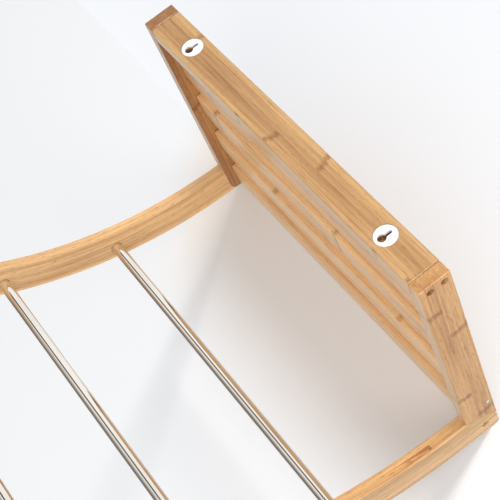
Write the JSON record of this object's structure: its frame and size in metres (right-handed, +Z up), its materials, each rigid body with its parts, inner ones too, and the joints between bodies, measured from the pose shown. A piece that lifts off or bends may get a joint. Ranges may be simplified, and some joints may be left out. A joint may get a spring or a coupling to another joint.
{
  "type": "wall mounted fold down drying rack",
  "caption": "Wall-mounted bamboo shelf on keyhole hangers, with a curved frame of steel drying rods hinged at its front corners and resting on the wall.",
  "frame": {"origin": "middle of the wall rail's back face, on the wall", "axes": "+Y into the wall, +Z up in use, X along the rail; the shelf stands out towards -Y, and left is -X"},
  "size_m": [0.5, 0.31, 0.5278],
  "materials": {
    "bamboo": "clear satin lacquer over laminated bamboo strips",
    "dowel_wood": "bare beech",
    "polished_steel": "mirror polished",
    "zinc_steel": "zinc plated",
    "brass": "plain",
    "white_plastic": "glossy white"
  },
  "bodies": {
    "shelf": {"keyhole_plate_left": "white_plastic", "keyhole_plate_right": "white_plastic", "pivot_bolt_left": "zinc_steel", "pivot_bolt_right": "zinc_steel", "pivot_insert_left": "brass", "pivot_insert_right": "brass", "pivot_washer_left": "zinc_steel", "pivot_washer_right": "zinc_steel", "rail_screw_left_lower": "zinc_steel", "rail_screw_left_upper": "zinc_steel", "rail_screw_right_lower": "zinc_steel", "rail_screw_right_upper": "zinc_steel", "side_board_left": "bamboo", "side_board_right": "bamboo", "slat_1": "bamboo", "slat_2": "bamboo", "slat_3": "bamboo", "slat_4": "bamboo", "slat_5": "bamboo", "slat_dowel_left_1": "dowel_wood", "slat_dowel_left_2": "dowel_wood", "slat_dowel_left_3": "dowel_wood", "slat_dowel_left_4": "dowel_wood", "slat_dowel_left_5": "dowel_wood", "slat_dowel_left_6": "dowel_wood", "slat_dowel_left_7": "dowel_wood", "slat_dowel_left_8": "dowel_wood", "slat_dowel_right_1": "dowel_wood", "slat_dowel_right_2": "dowel_wood", "slat_dowel_right_3": "dowel_wood", "slat_dowel_right_4": "dowel_wood", "slat_dowel_right_5": "dowel_wood", "slat_dowel_right_6": "dowel_wood", "slat_dowel_right_7": "dowel_wood", "slat_dowel_right_8": "dowel_wood", "steel_pin_left": "polished_steel", "steel_pin_right": "polished_steel", "wall_rail": "bamboo"},
    "drying_frame": {"arm_left": "bamboo", "arm_right": "bamboo", "rod_1": "polished_steel", "rod_2": "polished_steel", "rod_3": "polished_steel"}
  },
  "joints": [
    {"name": "frame_fold", "type": "hinge", "parent": "shelf", "child": "drying_frame", "pos_m": [0, -0.296, 0.002], "axis": [-1, 0, 0], "range_deg": [0, 50]}
  ]
}
